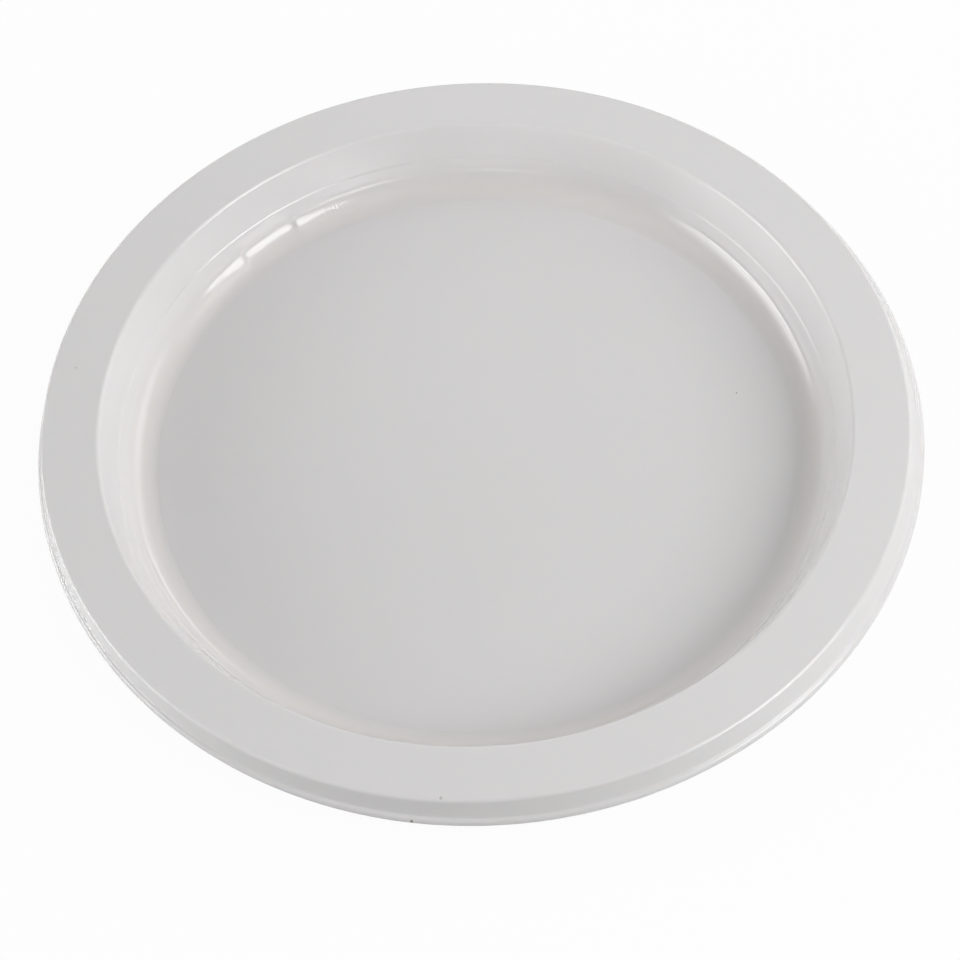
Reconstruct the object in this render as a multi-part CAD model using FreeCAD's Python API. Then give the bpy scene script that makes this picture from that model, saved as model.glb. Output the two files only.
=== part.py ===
import FreeCAD, Part
import os
from math import cos, degrees, hypot, radians, sin, tan

# A shallow round plate, thermoformed in one piece from plastic sheet. Sizes are in millimetres.
# +Z is up. The origin is on the axis of the well, in the plane that the base rests on.
# Sizes of the well, rim and skirt are those of the upper face, and its corners are taken sharp.

sheet = 0.8                # thickness of the formed sheet

# Well
floor_radius = 95.1        # flat floor, out to where it starts to curve up
floor_round = 10.0         # radius between the floor and the wall
well_depth = 20.4          # from the rim down to the floor
wall_draft = 19.5          # lean of the wall from vertical, in degrees

# Denesting recess, a short hollow pressed into the round between floor and wall
recess_round = 6.3         # radius between the floor and the hollow's outer side
recess_reach = 0.45        # how far its corner lies outside the corner of the well
recess_length = 19.6       # along the corner
recess_heading = 126.2     # direction of its middle from the axis, in degrees from +X to +Y
recess_turn = 110.0        # how far round the hollow's section runs, past the wall, in degrees

# Stacking ledge, part of the way up the wall
ledge_drop = 11.3          # from the rim down to the inner corner of the ledge
ledge_width = 0.7          # how far the wall steps out over the ledge
ledge_slope = 25.0         # rise of the ledge towards the upper wall, in degrees
ledge_inner_round = 0.95   # radius over the inner corner
ledge_outer_round = 0.25   # radius where the upper wall starts

# Flat rim
rim_width = 16.8           # from the wall to the skirt
rim_inner_round = 1.5      # radius over the inner edge
rim_outer_round = 1.0      # radius over the outer edge

# Skirt that hangs from the rim, drawn a little to one side
skirt_height = 7.2         # from the rim down to the flange
skirt_spread = 2.1         # how much further out the skirt is at its foot than at the rim
skirt_shift = 0.9          # how far the foot is off the axis, along +X

# Flange, the narrow edge left where the plate was cut out of the sheet
flange_width = 1.3         # beyond the foot of the skirt, on average
flange_shift = 0.4         # how far the cut is off the centre of the skirt's foot, along +X
flange_round = 0.4         # radius between the skirt and the flange

up = FreeCAD.Vector(0, 0, 1)
floor_height = sheet
rim_height = floor_height + well_depth
flange_height = rim_height - skirt_height


def point(radius, height):
    return FreeCAD.Vector(radius, 0, height)


def well_corners():
    """Corners of the well's upper face, from the axis out to the rim, each with its radius."""
    lean = tan(radians(wall_draft))
    floor_corner = floor_radius + floor_round * tan(radians(90 - wall_draft) / 2)
    ledge_height = rim_height - ledge_drop
    ledge_rise = ledge_width * tan(radians(ledge_slope))
    ledge_inner = floor_corner + (ledge_height - floor_height) * lean
    ledge_outer = ledge_inner + ledge_width
    wall_top = ledge_outer + (ledge_drop - ledge_rise) * lean
    return [
        (point(0, floor_height), 0),
        (point(floor_corner, floor_height), floor_round),
        (point(ledge_inner, ledge_height), ledge_inner_round),
        (point(ledge_outer, ledge_height + ledge_rise), ledge_outer_round),
        (point(wall_top, rim_height), rim_inner_round),
        (point(wall_top + rim_width / 2, rim_height), 0),
    ]


def headings(corners):
    """Direction of each run from one corner to the next."""
    ends = [corner for corner, _ in corners]
    return [(end - start).normalize() for start, end in zip(ends, ends[1:])]


def below(corners, depth):
    """The same corners on a face that runs parallel, at this depth under the upper one."""
    runs = headings(corners)
    moved = []
    for index, (corner, radius) in enumerate(corners):
        before = runs[max(index - 1, 0)]
        after = runs[min(index, len(runs) - 1)]
        side_before = FreeCAD.Vector(before.z, 0, -before.x)
        side_after = FreeCAD.Vector(after.z, 0, -after.x)
        step = (side_before + side_after) * (depth / (1 + side_before.dot(side_after)))
        turns_up = before.x * after.z > before.z * after.x
        moved.append((corner + step, radius + depth if turns_up else radius - depth))
    return moved


def rounded_line(corners):
    """Straight edges between the corners, with a tangent arc over each inner corner."""
    runs = headings(corners)
    edges = []
    start = corners[0][0]
    for before, after, (corner, radius) in zip(runs, runs[1:], corners[1:]):
        half_turn = before.getAngle(after) / 2
        reach = radius * tan(half_turn)
        arc_start = corner - before * reach
        arc_end = corner + after * reach
        arc_middle = corner + (after - before).normalize() * (radius / cos(half_turn) - radius)
        edges.append(Part.makeLine(start, arc_start))
        edges.append(Part.Arc(arc_start, arc_middle, arc_end).toShape())
        start = arc_end
    edges.append(Part.makeLine(start, corners[-1][0]))
    return edges


def bowl(depth):
    """Solid that fills the well from the plane of the rim down to this depth under its face."""
    corners = below(well_corners(), depth)
    outer_end = corners[-1][0]
    axis_top = point(0, outer_end.z)
    edges = rounded_line(corners)
    edges.append(Part.makeLine(outer_end, axis_top))
    edges.append(Part.makeLine(axis_top, corners[0][0]))
    section = Part.Face(Part.Wire(edges))
    return section.revolve(FreeCAD.Vector(0, 0, 0), up, 360)


def recess(depth):
    """Solid for the recess, from inside the well out to this depth under the upper face."""
    radius = recess_round + depth
    corner = well_corners()[1][0].x
    centre = corner + recess_reach - recess_round * tan(radians(90 - wall_draft) / 2)

    def on_round(turn):
        across = centre + radius * sin(radians(turn))
        return point(across, floor_height + recess_round - radius * cos(radians(turn)))

    inner_end = point(floor_radius, floor_height - depth)
    arc = Part.Arc(on_round(0), on_round(recess_turn / 2), on_round(recess_turn)).toShape()
    floor_line = Part.makeLine(inner_end, on_round(0))
    closing_line = Part.makeLine(on_round(recess_turn), inner_end)
    section = Part.Face(Part.Wire([floor_line, arc, closing_line]))
    half_angle = degrees((recess_length / 2 + depth) / corner)
    section.rotate(FreeCAD.Vector(0, 0, 0), up, recess_heading - half_angle)
    return section.revolve(FreeCAD.Vector(0, 0, 0), up, 2 * half_angle)


def circle(radius, shift, height):
    return Part.Wire(Part.makeCircle(radius, FreeCAD.Vector(shift, 0, height), up))


def skirt_circle(drop, inset):
    """Circle round the skirt at this drop from the rim, `inset` inside its outer face."""
    rim_outer_radius = well_corners()[-2][0].x + rim_width
    share = drop / skirt_height
    radius = rim_outer_radius + skirt_spread * share - inset
    return circle(radius, skirt_shift * share, rim_height - drop)


def round_inner_edge(shape, height, radius):
    """Rounds the smallest circular edge that lies at this height."""
    level = [
        edge for edge in shape.Edges
        if edge.BoundBox.ZLength < 0.001 and abs(edge.BoundBox.ZMin - height) < 0.001
    ]
    smallest = min(level, key=lambda edge: edge.BoundBox.XLength)
    return shape.makeFillet(radius, [smallest])


def skirt_solid(top_drop, foot_drop, inset, top_round):
    rings = [skirt_circle(top_drop, inset), skirt_circle(foot_drop, inset)]
    solid = Part.makeLoft(rings, True, True)
    return round_inner_edge(solid, rim_height - top_drop, top_round)


def rim_shell():
    """The rim with its skirt and flange, still closed over the well."""
    flange_base = flange_height - sheet
    foot_radius = skirt_circle(skirt_height, 0).BoundBox.XLength / 2
    cut_edge = circle(foot_radius + flange_width, skirt_shift + flange_shift, flange_base)
    flange = Part.Face(cut_edge).extrude(up * sheet)
    outside = skirt_solid(0, skirt_height, 0, rim_outer_round).fuse(flange)
    outside = round_inner_edge(outside, flange_height, flange_round)

    wall = sheet * hypot(skirt_spread, skirt_height) / skirt_height
    below_flange = skirt_height + 2 * sheet
    hollow = skirt_solid(sheet, below_flange, wall, rim_outer_round - sheet)
    shell = outside.cut(hollow)
    return round_inner_edge(shell, flange_base, flange_round + sheet)


outer_well = bowl(sheet).fuse(recess(sheet))
inner_well = bowl(0).fuse(recess(0))
plate = rim_shell().fuse(outer_well).cut(inner_well).removeSplitter()

os.makedirs("parts", exist_ok=True)
plate.exportStep("parts/plate.step")
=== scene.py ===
from math import atan2, ceil, cos, degrees, pi, radians, sin, tan

import bmesh
import bpy
from mathutils import Matrix, Vector


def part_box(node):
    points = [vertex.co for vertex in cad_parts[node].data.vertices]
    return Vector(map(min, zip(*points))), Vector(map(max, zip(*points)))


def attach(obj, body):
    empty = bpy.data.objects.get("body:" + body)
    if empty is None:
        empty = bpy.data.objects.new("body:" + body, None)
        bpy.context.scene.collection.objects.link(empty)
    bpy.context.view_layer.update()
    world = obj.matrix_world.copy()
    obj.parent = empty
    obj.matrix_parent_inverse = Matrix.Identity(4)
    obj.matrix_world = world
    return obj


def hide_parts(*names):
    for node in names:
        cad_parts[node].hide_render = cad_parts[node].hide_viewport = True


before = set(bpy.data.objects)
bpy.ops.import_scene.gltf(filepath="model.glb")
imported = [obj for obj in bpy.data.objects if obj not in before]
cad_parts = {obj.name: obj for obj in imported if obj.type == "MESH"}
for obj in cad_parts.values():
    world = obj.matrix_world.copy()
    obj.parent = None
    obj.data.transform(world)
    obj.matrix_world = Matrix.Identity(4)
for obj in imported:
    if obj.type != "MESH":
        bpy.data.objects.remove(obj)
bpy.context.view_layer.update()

mm = 0.001
print("stage: frame loaded")


# Colour and nodes

def hexColour(text):
    parts = [int(text[i:i + 2], 16) / 255 for i in (0, 2, 4)]
    return tuple(p / 12.92 if p <= 0.04045 else ((p + 0.055) / 1.055) ** 2.4 for p in parts) + (1.0,)


def addNode(tree, kind, settings=None, links=None):
    node = tree.nodes.new("ShaderNode" + kind)
    for name, value in (settings or {}).items():
        if isinstance(name, int) or name in node.inputs.keys():
            node.inputs[name].default_value = value
        else:
            setattr(node, name, value)
    for name, source in (links or {}).items():
        tree.links.new(source, node.inputs[name])
    return node


# Plate: one formed sheet, drawn as a section and spun round

plateShape = {
    "sheet": 0.8,            # thickness of the formed sheet, mm
    "floorRadius": 95.1,     # flat floor
    "floorRound": 10.0,      # floor into wall
    "wallLean": 20.5,        # degrees off vertical
    "ledgeDrop": 11.3,       # rim down to the stacking ledge
    "ledgeWidth": 0.4,       # how far the wall steps out over the ledge
    "ledgeSlope": 40.0,      # degrees
    "ledgeInnerRound": 0.95,
    "ledgeOuterRound": 0.9,
    "rimWidth": 16.8,        # from the wall to the skirt
    "rimInnerRound": 1.5,
    "rimOuterRound": 1.08,
    "skirtHeight": 6.45,     # rim down to the step at the skirt's foot
    "skirtSpread": 1.85,     # foot of the skirt outside its top
    "skirtShift": 1.28,      # cut edge off the axis, along +X
    "stepWidth": 0.95,       # from the skirt's foot out to the lip
    "stepDrop": 0.3,
    "stepInnerRound": 0.6,
    "stepOuterRound": 1.1,
    "lipHeight": 1.45,       # lip left where the plate was cut out of the sheet
    "lipSpread": 0.57,
    "cutRound": 0.12,        # edges of the cut
    "cutPieces": 2,          # pieces in that round
    "cutTurn": 60.0,         # edges sharper than this are rounded as cut edges, degrees
    "smoothTurn": 40.0,      # edges sharper than this stay crisp, degrees
    "steps": 512,            # round the plate
    "endGap": 0.35,          # short run beside each round, keeps the flats flat
}


def sectionCorners(shape, height):
    lean = tan(radians(shape["wallLean"]))
    base = shape["sheet"]
    floorCorner = shape["floorRadius"] + shape["floorRound"] * tan(radians(90 - shape["wallLean"]) / 2)
    ledgeHeight = height - shape["ledgeDrop"]
    ledgeRise = shape["ledgeWidth"] * tan(radians(shape["ledgeSlope"]))
    ledgeInner = floorCorner + (ledgeHeight - base) * lean
    ledgeOuter = ledgeInner + shape["ledgeWidth"]
    wallTop = ledgeOuter + (shape["ledgeDrop"] - ledgeRise) * lean
    rimOuter = wallTop + shape["rimWidth"]
    foot = rimOuter + shape["skirtSpread"]
    footHeight = height - shape["skirtHeight"]
    lipTop, lipTopHeight = foot + shape["stepWidth"], footHeight - shape["stepDrop"]
    # radius, height, round, pieces in the round, longest run before it
    return [
        (0.0, base, 0.0, 0, 0.0),
        (floorCorner, base, shape["floorRound"], 18, 9.0),
        (ledgeInner, ledgeHeight, shape["ledgeInnerRound"], 6, 1.5),
        (ledgeOuter, ledgeHeight + ledgeRise, shape["ledgeOuterRound"], 3, 1.0),
        (wallTop, height, shape["rimInnerRound"], 7, 3.0),
        (rimOuter, height, shape["rimOuterRound"], 9, 4.0),
        (foot, footHeight, shape["stepInnerRound"], 4, 2.0),
        (lipTop, lipTopHeight, shape["stepOuterRound"], 5, 1.0),
        (lipTop + shape["lipSpread"], lipTopHeight - shape["lipHeight"], 0.0, 0, 1.0),
    ]


# Draws a straight run on from the last point, cut into parts no longer than the longest
def drawRun(bm, end, target, longest, endGap):
    start = end.co.copy()
    run = Vector(target) - start
    length = run.length
    marks = [length]
    if length > 4 * endGap:    # a shorter run stays whole
        inner = length - 2 * endGap
        count = max(1, ceil(inner / longest))
        marks = [endGap + inner * i / count for i in range(count + 1)] + [length]
    for mark in marks:
        end = bmesh.ops.extrude_vert_indiv(bm, verts=[end])["verts"][0]
        end.co = start + run * (mark / length)
    return end


# Draws the section from the axis out, with a round at each corner
def drawSection(bm, corners, endGap):
    points = [Vector((radius, 0, height)) for radius, height, *_ in corners]
    heads = [(b - a).normalized() for a, b in zip(points, points[1:])]
    end = bm.verts.new(points[0])
    for index in range(1, len(points)):
        _, _, radius, pieces, longest = corners[index]
        if not radius:
            end = drawRun(bm, end, points[index], longest, endGap)
            continue
        before, after = heads[index - 1], heads[index]
        turn = before.angle(after)
        reach = radius * tan(turn / 2)
        end = drawRun(bm, end, points[index] - before * reach, longest, endGap)
        side = 1 if before.x * after.z > before.z * after.x else -1      # +1 turns up
        centre = end.co + Vector((-before.z, 0, before.x)) * (side * radius)
        swept = bmesh.ops.spin(bm, geom=[end], cent=centre, axis=(0, -side, 0), dvec=(0, 0, 0),
                               angle=turn, steps=pieces, use_duplicate=False)
        end = swept["geom_last"][0]
    return end


recessShape = {
    "depth": 0.4,      # into the round between floor and wall, mm
    "tilt": 48.0,      # how far up the round its deepest line lies, degrees
    "halfWidth": 5.0,  # up and down the round
    "length": 19.6,    # along the round
    "heading": 126.2,  # middle of it, degrees from +X to +Y
    "side": 2.6,       # width of each end slope
    "cuts": 6,         # columns of points across each end slope
    "cutReach": 25.6,  # how far from the recess a column of points runs
}


# Adds a column of points near this place, so that the end slopes of the recess are smooth
def cutColumn(bm, heading, radius, reach):
    angle = radians(heading)
    spot = Vector((cos(angle), sin(angle), 0)) * radius
    across = Vector((-sin(angle), cos(angle), 0))
    faces = [face for face in bm.faces if (face.calc_center_median() - spot).length < reach]
    geometry = set(faces)
    for face in faces:
        geometry.update(face.verts)
        geometry.update(face.edges)
    bmesh.ops.bisect_plane(bm, geom=list(geometry), dist=0.0001, plane_co=(0, 0, 0), plane_no=across)


# Pushes the points of the round outwards over the recess
def pressRecess(bm, shape, values):
    foot, ring = shape["floorRadius"], shape["floorRound"]
    middle = radians(values["tilt"])
    halfWidth, halfLength = values["halfWidth"], values["length"] / 2
    radius = foot + ring * sin(middle)
    centre = Vector((foot, shape["sheet"] + ring))    # radius and height
    for side in (-1, 1):
        for step in range(values["cuts"]):
            along = side * halfLength + values["side"] * (step / (values["cuts"] - 1) - 0.5)
            cutColumn(bm, values["heading"] + degrees(along / radius), radius, values["cutReach"])
    for vert in bm.verts:
        spot = Vector((vert.co.xy.length, vert.co.z))
        out = spot - centre
        up = atan2(out.x, -out.y)
        climb = (up - middle) * ring
        if not foot < spot.x < radius + 2 * halfWidth or abs(climb) > halfWidth:
            continue
        turn = degrees(atan2(vert.co.y, vert.co.x)) - values["heading"]
        off = radians(abs((turn + 180) % 360 - 180)) * radius
        share = min(1, max(0, (halfLength - off) / values["side"] + 0.5))
        share *= share * (3 - 2 * share)              # eases the slope in and out
        press = share * values["depth"] * (1 + cos(pi * climb / halfWidth)) / 2
        moved = spot + out.normalized() * press
        vert.co = Vector((vert.co.x * moved.x / spot.x, vert.co.y * moved.x / spot.x, moved.y))


def buildPlate():
    low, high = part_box("plate")
    height = (high.z - low.z) / mm
    shape = plateShape
    corners = sectionCorners(shape, height)
    bm = bmesh.new()
    drawSection(bm, corners, shape["endGap"])
    bmesh.ops.spin(bm, geom=bm.verts[:] + bm.edges[:], cent=(0, 0, 0), axis=(0, 0, 1), dvec=(0, 0, 0),
                   angle=2 * pi, steps=shape["steps"], use_merge=True, use_duplicate=False)
    bmesh.ops.remove_doubles(bm, verts=bm.verts[:], dist=0.001)

    pressRecess(bm, shape, recessShape)
    # Skirt and lip drawn to one side, more the lower they lie. Corner 5 is the rim's outer edge.
    rimMiddle, cutHeight = corners[5][0] - shape["rimWidth"] / 2, corners[-1][1]
    for vert in bm.verts:
        if vert.co.xy.length > rimMiddle:
            vert.co.x += max(0, height - vert.co.z) / (height - cutHeight) * shape["skirtShift"]

    bmesh.ops.recalc_face_normals(bm, faces=bm.faces[:])
    if sum(face.normal.z * face.calc_area() for face in bm.faces) < 0:
        bmesh.ops.reverse_faces(bm, faces=bm.faces[:])
    bmesh.ops.solidify(bm, geom=bm.faces[:], thickness=shape["sheet"])
    cutEdges = [edge for edge in bm.edges if edge.calc_face_angle(0) > radians(shape["cutTurn"])]
    bmesh.ops.bevel(bm, geom=cutEdges, offset=shape["cutRound"], offset_type="OFFSET",
                    segments=shape["cutPieces"], profile=0.5, affect="EDGES", material=-1,
                    clamp_overlap=True)
    for edge in bm.edges:
        edge.smooth = len(edge.link_faces) == 2 and edge.calc_face_angle(0) < radians(shape["smoothTurn"])
    for face in bm.faces:
        face.smooth = True
    bmesh.ops.scale(bm, vec=(mm, mm, mm), verts=bm.verts[:])
    mesh = bpy.data.meshes.new("formedPlate")
    bm.to_mesh(mesh)
    bm.free()
    plate = bpy.data.objects.new("formedPlate", mesh)
    bpy.context.scene.collection.objects.link(plate)
    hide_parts("plate")
    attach(plate, "root")
    return plate


plate = buildPlate()
print("stage: plate built")


# Material: high-impact polystyrene sheet, thermoformed. The eye gets a hard, wet gloss over a milky body,
# highlights with edges that waver where the sheet chilled on the mould, and a painted reflection tint: a
# warmer white over the round between floor and wall, where that round reflects the darker side towards the
# camera.

polystyreneLook = {
    "colour": "dfddde",
    "cloudColour": "dfdedd",
    "cloud": 55.0,                 # width of the milky clouds, mm
    "reflectionTintColour": "e0dddb",       # painted reflection tint: warmer white over the round of the floor, where it reflects the darker front
    "reflectionTintBand": (99.5, 6.5),      # its middle and half width, mm from the axis
    "refraction": 1.59,
    "body": 0.35,                  # share of light that enters the milky body
    "bodyReach": (0.8, 0.72, 0.64),    # how far red, green and blue spread in it, mm
    "roughness": (0.065, 0.095),   # least and most
    "glossPatch": 30.0,            # width of the patches of gloss, mm
    "peel": (6.0, 0.03),           # orange peel: spacing and depth, mm
    "ripple": (1.1, 0.12),         # chatter beside the recess: spacing and depth, mm
    "ripplePlaces": ((138.6, 2.6), (113.5, 5.0)),    # heading and half width, degrees
    "rippleBand": (101.0, 5.0),    # its middle and half width, mm from the axis
    "rippleRun": 0.15,             # how much slower it varies outwards than round the plate
    "crease": (95.4, 0.5, 0.015),  # faint ring at the edge of the floor: radius, half width and depth, mm
    "speckEdge": 0.2,              # softness, as a share of a speck's radius
    "specks": (                    # x, y, z, radius in mm and colour
        (79.2, 14.6, 0.8, 0.2, "5f5a54"),
        (-117.1, 25.6, 21.2, 0.4, "cfccc8"),
        (-15.8, -124.9, 21.2, 0.42, "c2bfba"),
        (-24.2, -127.4, 13.6, 0.45, "8f8a80"),
    ),
}


# 1 in the middle of a band, falling smoothly to 0 at its edges
def bandShare(tree, value, middle, half):
    off = addNode(tree, "Math", {"operation": "SUBTRACT", 1: middle}, {0: value})
    off = addNode(tree, "Math", {"operation": "ABSOLUTE"}, {0: off.outputs[0]})
    return addNode(tree, "MapRange", {"interpolation_type": "SMOOTHSTEP", "From Min": half, "From Max": 0.0},
                   {"Value": off.outputs[0]}).outputs[0]


def polystyreneMaterial(look):
    material = bpy.data.materials.new("thermoformedPolystyrene")
    material.use_nodes = True
    tree = material.node_tree
    shader = tree.nodes["Principled BSDF"]
    shader.inputs["IOR"].default_value = look["refraction"]
    shader.inputs["Subsurface Weight"].default_value = look["body"]
    shader.inputs["Subsurface Radius"].default_value = look["bodyReach"]
    shader.inputs["Subsurface Scale"].default_value = mm

    local = addNode(tree, "TexCoord").outputs["Object"]
    place = addNode(tree, "VectorMath", {"operation": "SCALE", "Scale": 1 / mm}, {0: local}).outputs[0]
    parts = addNode(tree, "SeparateXYZ", links={0: place}).outputs
    flat = addNode(tree, "VectorMath", {"operation": "MULTIPLY", 1: (1, 1, 0)}, {0: place}).outputs[0]
    radius = addNode(tree, "VectorMath", {"operation": "LENGTH"}, {0: flat}).outputs["Value"]
    turn = addNode(tree, "Math", {"operation": "ARCTAN2"}, {0: parts[1], 1: parts[0]}).outputs[0]
    heading = addNode(tree, "Math", {"operation": "DEGREES"}, {0: turn}).outputs[0]

    cloud = addNode(tree, "TexNoise", {"Scale": 1 / look["cloud"], "Detail": 2.0}, {"Vector": place})
    colour = addNode(tree, "Mix", {"data_type": "RGBA", 6: hexColour(look["colour"]),
                                   7: hexColour(look["cloudColour"])}, {0: cloud.outputs[0]}).outputs[2]
    # painted reflection tint: a warmer white in a band over the round between floor and wall
    reflectionTint = bandShare(tree, radius, *look["reflectionTintBand"])
    colour = addNode(tree, "Mix", {"data_type": "RGBA", 7: hexColour(look["reflectionTintColour"])},
                     {0: reflectionTint, 6: colour}).outputs[2]
    for x, y, z, size, speckColour in look["specks"]:
        gap = addNode(tree, "VectorMath", {"operation": "DISTANCE", 1: (x, y, z)}, {0: place})
        inside = addNode(tree, "MapRange", {"From Min": (1 + look["speckEdge"]) * size,
                                            "From Max": (1 - look["speckEdge"]) * size},
                         {"Value": gap.outputs["Value"]})
        colour = addNode(tree, "Mix", {"data_type": "RGBA", 7: hexColour(speckColour)},
                         {0: inside.outputs[0], 6: colour}).outputs[2]
    tree.links.new(colour, shader.inputs["Base Color"])

    gloss = addNode(tree, "TexNoise", {"Scale": 1 / look["glossPatch"], "Detail": 3.0}, {"Vector": place})
    least, most = look["roughness"]
    rough = addNode(tree, "MapRange", {"From Min": 0.3, "From Max": 0.7, "To Min": least, "To Max": most},
                    {"Value": gloss.outputs[0]})    # most of the noise lies from 0.3 to 0.7
    tree.links.new(rough.outputs[0], shader.inputs["Roughness"])

    spacing, depth = look["peel"]
    peel = addNode(tree, "TexNoise", {"Scale": 1 / spacing, "Detail": 2.0}, {"Vector": place})
    height = addNode(tree, "Math", {"operation": "MULTIPLY", 1: depth}, {0: peel.outputs[0]}).outputs[0]
    spacing, depth = look["ripple"]
    middle, half = look["rippleBand"]
    across = addNode(tree, "CombineXYZ", links={0: heading, 1: radius}).outputs[0]
    unrolled = (radians(1) * middle, look["rippleRun"], 0)
    across = addNode(tree, "VectorMath", {"operation": "MULTIPLY", 1: unrolled}, {0: across}).outputs[0]
    ripple = addNode(tree, "TexNoise", {"Scale": 1 / spacing, "Detail": 1.0}, {"Vector": across}).outputs[0]
    ripple = addNode(tree, "Math", {"operation": "MULTIPLY"},
                     {0: ripple, 1: bandShare(tree, radius, middle, half)}).outputs[0]
    ripple = addNode(tree, "Math", {"operation": "MULTIPLY", 1: depth}, {0: ripple}).outputs[0]
    for angle, width in look["ripplePlaces"]:
        height = addNode(tree, "Math", {"operation": "MULTIPLY_ADD"},
                         {0: ripple, 1: bandShare(tree, heading, angle, width), 2: height}).outputs[0]
    middle, half, depth = look["crease"]
    crease = bandShare(tree, radius, middle, half)
    height = addNode(tree, "Math", {"operation": "MULTIPLY_ADD", 1: -depth},
                     {0: crease, 2: height}).outputs[0]
    bump = addNode(tree, "Bump", {"Strength": 1.0, "Distance": mm}, {"Height": height})
    tree.links.new(bump.outputs[0], shader.inputs["Normal"])
    return material


plate.data.materials.append(polystyreneMaterial(polystyreneLook))
print("stage: material set")


# Camera

cameraView = {
    "aim": (0.434, -23.959, 21.2),   # mm
    "distance": 815.61,              # mm
    "heading": -90.07,               # where the camera stands, degrees from +X to +Y
    "elevation": 56.59,
    "roll": -3.81,
    "lens": 106.459,
    "sensor": 36,                    # mm
    "clip": (50, 50000),             # mm
}


def placeCamera(view):
    heading, elevation = radians(view["heading"]), radians(view["elevation"])
    back = Vector((cos(heading) * cos(elevation), sin(heading) * cos(elevation), sin(elevation)))
    data = bpy.data.cameras.new("camera")
    data.lens = view["lens"]
    data.sensor_width = view["sensor"]
    data.clip_start, data.clip_end = (reach * mm for reach in view["clip"])
    camera = bpy.data.objects.new("camera", data)
    roll = Matrix.Rotation(radians(view["roll"]), 4, "Z")
    turn = (-back).to_track_quat("-Z", "Y").to_matrix().to_4x4() @ roll
    place = (Vector(view["aim"]) + back * view["distance"]) * mm
    camera.matrix_world = Matrix.Translation(place) @ turn
    bpy.context.scene.collection.objects.link(camera)
    bpy.context.scene.camera = camera


placeCamera(cameraView)
print("stage: camera set")


# Lamps

lamps = {    # heading from +X to +Y and elevation in degrees, sizes in mm, turn about its own axis
    "key": {"heading": 330, "elevation": 33.5, "away": 1300, "wide": 930, "tall": 760, "turn": 22,
        "fade": (0.4, 0.05), "watts": 11.9},
    "keyHigh": {"heading": 330, "elevation": 58, "away": 1500, "wide": 2200, "tall": 1900, "turn": 0,
        "fade": (1, 1), "watts": 8.54},
    "backRightHigh": {"heading": 45, "elevation": 58, "away": 1500, "wide": 2200, "tall": 1900, "turn": 0,
        "fade": (1, 1), "watts": 7.88},
    "leftHigh": {"heading": 180, "elevation": 58, "away": 1500, "wide": 2200, "tall": 1900, "turn": 0,
        "fade": (1, 1), "watts": 8.27},
    "rightHigh": {"heading": 0, "elevation": 52, "away": 1400, "wide": 1019, "tall": 1019, "turn": 0,
        "fade": (1, 1), "watts": 4.21},
    "right": {"heading": 30, "elevation": 22, "away": 1300, "wide": 1900, "tall": 1100, "turn": 0,
        "fade": (1, 1), "watts": 14.2},
    "frontRight": {"heading": 300, "elevation": 9, "away": 1300, "wide": 1100, "tall": 420, "turn": 0,
        "fade": (1, 1), "watts": 5.81},
    "front": {"heading": 260, "elevation": 9, "away": 1300, "wide": 1100, "tall": 420, "turn": 0,
        "fade": (1, 1), "watts": 3.08},
    "leftStrip": {"heading": 181, "elevation": 11, "away": 1300, "wide": 1800, "tall": 560, "turn": 0,
        "fade": (0.5, 0.15), "watts": 6.94},
    "left": {"heading": 180, "elevation": 22, "away": 1300, "wide": 1900, "tall": 1100, "turn": 0,
        "fade": (1, 1), "watts": 22.7},
    "leftLow": {"heading": 181, "elevation": 5, "away": 1300, "wide": 1500, "tall": 220, "turn": 0,
        "fade": (0.7, 0.3), "watts": 5.54},
    "back": {"heading": 90, "elevation": 22, "away": 1300, "wide": 1900, "tall": 1100, "turn": 0,
        "fade": (1, 1), "watts": 5.78},
    "backHigh": {"heading": 90, "elevation": 44, "away": 1500, "wide": 1092, "tall": 804, "turn": 0,
        "fade": (1, 1), "watts": 1.82},
    "backRight": {"heading": 60, "elevation": 9, "away": 1300, "wide": 1100, "tall": 420, "turn": 0,
        "fade": (1, 1), "watts": 4.14},
}


def addLamp(name, values):
    heading, elevation = radians(values["heading"]), radians(values["elevation"])
    away = Vector((cos(heading) * cos(elevation), sin(heading) * cos(elevation), sin(elevation)))
    data = bpy.data.lights.new(name, "AREA")
    data.shape = "RECTANGLE"
    data.size, data.size_y = values["wide"] * mm, values["tall"] * mm
    data.energy = values["watts"]
    fadeLamp(data, values["fade"])
    lamp = bpy.data.objects.new(name, data)
    lamp.matrix_world = (Matrix.Translation(away * values["away"] * mm)
                         @ away.to_track_quat("Z", "Y").to_matrix().to_4x4()
                         @ Matrix.Rotation(radians(values["turn"]), 4, "Z"))
    bpy.context.scene.collection.objects.link(lamp)


# Dims a softbox towards its edges. Across and up, this share of its half width fades out.
def fadeLamp(data, fade):
    data.use_nodes = True
    tree = data.node_tree
    tree.nodes.clear()
    place = addNode(tree, "NewGeometry")
    parts = addNode(tree, "SeparateXYZ", links={0: place.outputs["Parametric"]})
    glow = None
    for axis, width in zip("XY", fade):
        inward = addNode(tree, "Math", {"operation": "PINGPONG", 1: 0.5}, {0: parts.outputs[axis]})
        level = addNode(tree, "MapRange", {"interpolation_type": "SMOOTHSTEP", "From Max": width / 2},
                        {"Value": inward.outputs[0]})
        if glow:
            level = addNode(tree, "Math", {"operation": "MULTIPLY"}, {0: glow, 1: level.outputs[0]})
        glow = level.outputs[0]
    light = addNode(tree, "Emission", links={"Strength": glow})
    addNode(tree, "OutputLight", links={"Surface": light.outputs[0]})


for lampName, lampValues in lamps.items():
    addLamp(lampName, lampValues)
print("stage: lamps set")


# Room: faint light from all sides

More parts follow.
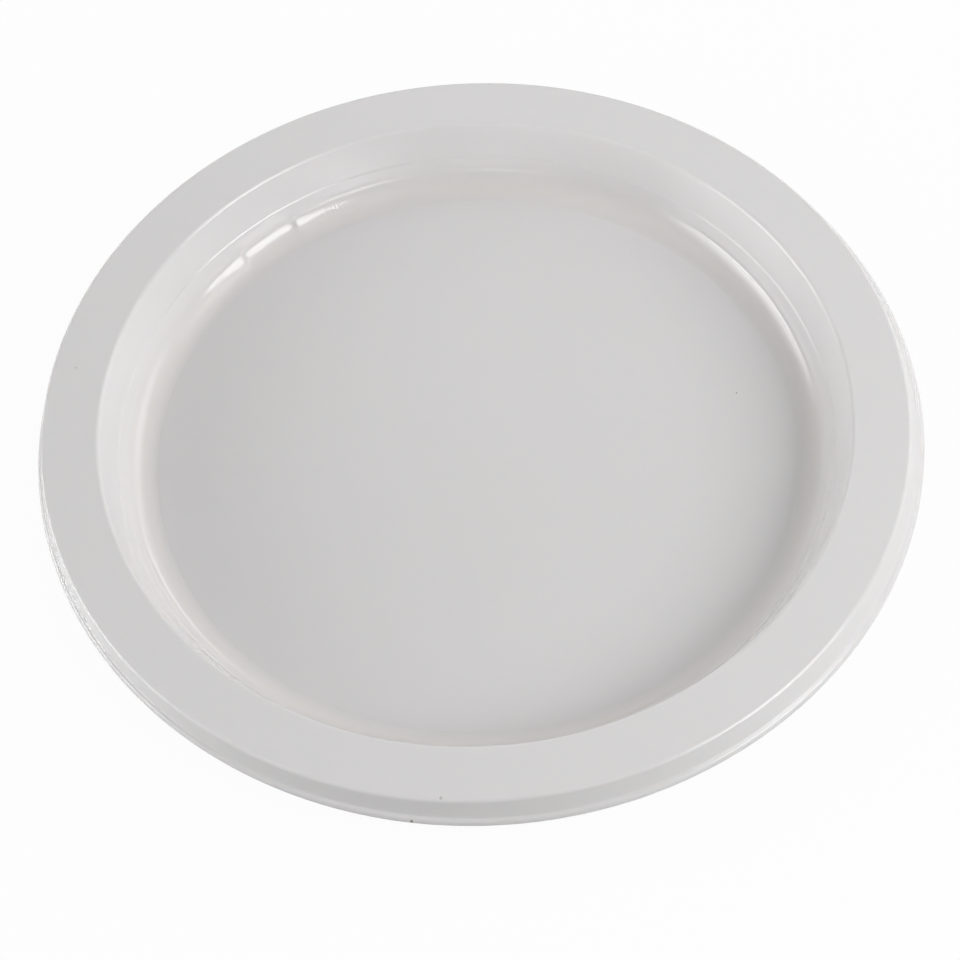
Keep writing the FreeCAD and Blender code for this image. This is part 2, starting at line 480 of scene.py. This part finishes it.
studioGlow = {
    "colour": "ffffff",
    "strength": 0.1,
}


def lightRoom(glow):
    world = bpy.data.worlds.new("studio")
    bpy.context.scene.world = world
    world.use_nodes = True
    background = world.node_tree.nodes["Background"]
    background.inputs["Color"].default_value = hexColour(glow["colour"])
    background.inputs["Strength"].default_value = glow["strength"]


lightRoom(studioGlow)


# Floor: matt paper, white where it is seen or reflected, and darker for the light that it throws back

floorLook = {
    "halfSize": 6000,        # mm
    "paper": "7a7a7a",       # what bounces light onto the plate's edge
    "seenWhite": 0.85,       # share of plain white where the floor is seen, the rest keeps the shadow
    "whiteLevel": 1.13,      # strength of that white
}


def paperMaterial(look):
    material = bpy.data.materials.new("mattPaper")
    material.use_nodes = True
    tree = material.node_tree
    tree.nodes.clear()
    path = addNode(tree, "LightPath")
    direct = addNode(tree, "Math", {"operation": "ADD"},
                     {0: path.outputs["Is Camera Ray"], 1: path.outputs["Is Glossy Ray"]})
    seen = addNode(tree, "Math", {"operation": "ADD", "use_clamp": True},
                   {0: direct.outputs[0], 1: path.outputs["Is Transmission Ray"]})
    share = addNode(tree, "Math", {"operation": "MULTIPLY", 1: look["seenWhite"]}, {0: seen.outputs[0]})
    paper = addNode(tree, "BsdfDiffuse", {"Color": hexColour(look["paper"])})
    white = addNode(tree, "Emission", {"Strength": look["whiteLevel"]})
    mixed = addNode(tree, "MixShader",
                    links={0: share.outputs[0], 1: paper.outputs[0], 2: white.outputs[0]})
    addNode(tree, "OutputMaterial", links={"Surface": mixed.outputs[0]})
    return material


def buildFloor(look):
    bm = bmesh.new()
    bmesh.ops.create_grid(bm, x_segments=1, y_segments=1, size=look["halfSize"] * mm)
    mesh = bpy.data.meshes.new("floor")
    bm.to_mesh(mesh)
    bm.free()
    floor = bpy.data.objects.new("floor", mesh)
    bpy.context.scene.collection.objects.link(floor)
    floor.data.materials.append(paperMaterial(look))
    return floor


buildFloor(floorLook)
print("stage: floor set")

bpy.context.scene.view_settings.view_transform = "Standard"
